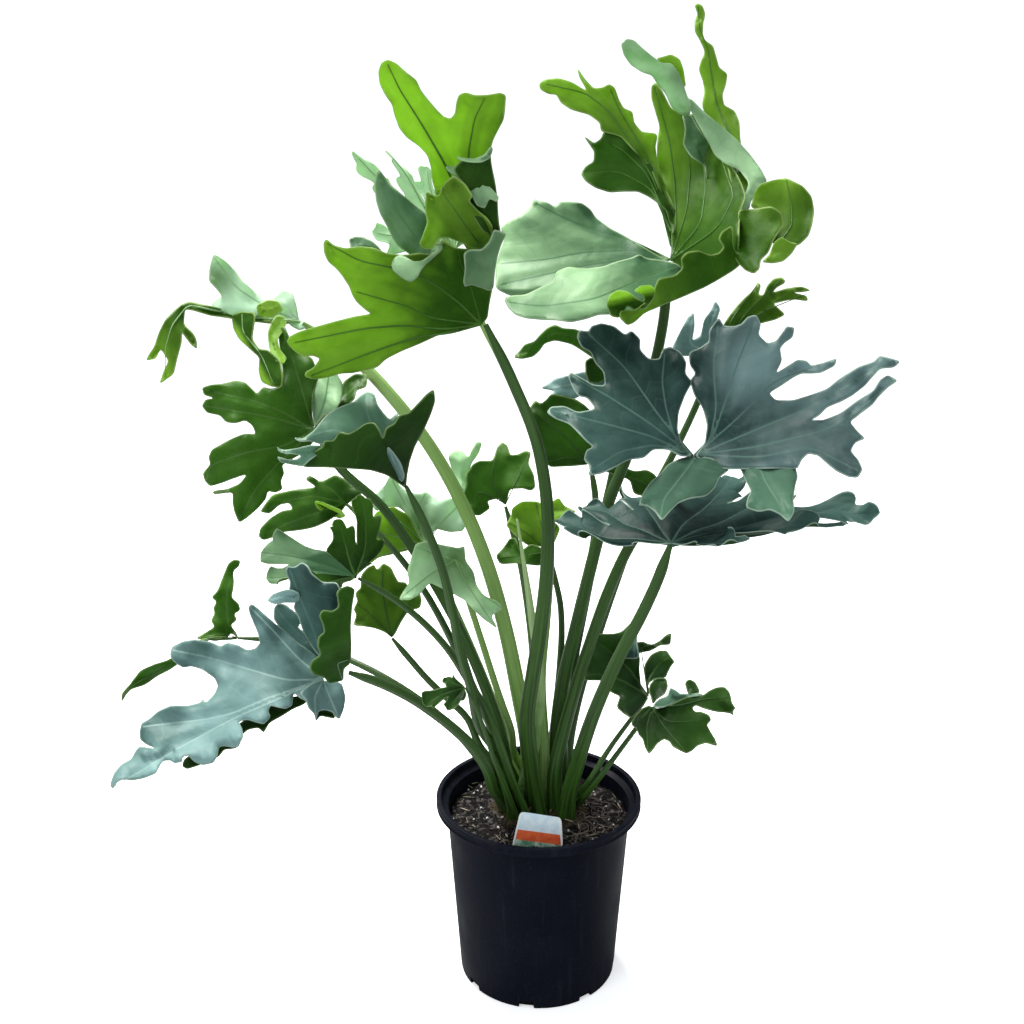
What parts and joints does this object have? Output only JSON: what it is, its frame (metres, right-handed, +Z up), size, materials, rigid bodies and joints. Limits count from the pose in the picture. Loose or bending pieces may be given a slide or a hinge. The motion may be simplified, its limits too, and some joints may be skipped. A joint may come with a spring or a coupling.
{
  "type": "potted split-leaf philodendron",
  "caption": "Leafy pot plant with large deeply lobed split leaves on long stalks in a plain dark round nursery pot",
  "frame": {"origin": "centre of the pot's base, on the surface that it stands on", "axes": "+Z up along the pot's axis, -Y towards the side that the picture shows, +X to its right"},
  "size_m": [0.7103, 0.5005, 0.9209],
  "materials": {
    "pot_plastic": "satin moulded plastic, blue black",
    "potting_mix": "damp bark and peat mix",
    "label_plastic": "plain coloured bands, no lettering",
    "crown_stem": "fibrous stem base",
    "leaf_stalk": "smooth green stalk",
    "leaf_lime": "young lime green blade, satin",
    "leaf_green": "mid green blade, satin",
    "leaf_blue": "blue green blade, glossy",
    "leaf_dark": "dark green blade, satin",
    "leaf_pale": "pale yellow green blade, satin"
  },
  "bodies": {
    "root": {"pot": "pot_plastic", "potting_mix": "potting_mix", "plant_label": "label_plastic", "crown": "crown_stem", "new_leaf_spear": "leaf_pale", "leaf_top_left": "leaf_lime", "stalk_top_left": "leaf_stalk", "leaf_top_right": "leaf_lime", "stalk_top_right": "leaf_stalk", "leaf_right_wide": "leaf_blue", "stalk_right_wide": "leaf_stalk", "leaf_right_low": "leaf_blue", "stalk_right_low": "leaf_stalk", "leaf_mid_left": "leaf_green", "stalk_mid_left": "leaf_stalk", "leaf_left_dark": "leaf_dark", "stalk_left_dark": "leaf_stalk", "leaf_far_left_top": "leaf_pale", "stalk_far_left_top": "leaf_stalk", "leaf_far_left_low": "leaf_green", "stalk_far_left_low": "leaf_stalk", "leaf_left_low": "leaf_blue", "stalk_left_low": "leaf_stalk", "leaf_left_pale": "leaf_green", "stalk_left_pale": "leaf_stalk", "leaf_left_inner": "leaf_dark", "stalk_left_inner": "leaf_stalk", "leaf_inner_low": "leaf_dark", "stalk_inner_low": "leaf_stalk", "leaf_inner_pale": "leaf_pale", "stalk_inner_pale": "leaf_stalk", "leaf_inner_pale_low": "leaf_pale", "stalk_inner_pale_low": "leaf_stalk", "leaf_back_mid": "leaf_green", "stalk_back_mid": "leaf_stalk", "leaf_mid_bright": "leaf_lime", "stalk_mid_bright": "leaf_stalk", "leaf_mid_dark": "leaf_dark", "stalk_mid_dark": "leaf_stalk", "leaf_mid_back": "leaf_green", "stalk_mid_back": "leaf_stalk", "leaf_right_back": "leaf_green", "stalk_right_back": "leaf_stalk", "leaf_top_back": "leaf_pale", "stalk_top_back": "leaf_stalk", "leaf_low_right_up": "leaf_dark", "stalk_low_right_up": "leaf_stalk", "leaf_low_right_down": "leaf_dark", "stalk_low_right_down": "leaf_stalk", "leaf_small_low": "leaf_dark", "stalk_small_low": "leaf_stalk"}
  },
  "joints": []
}
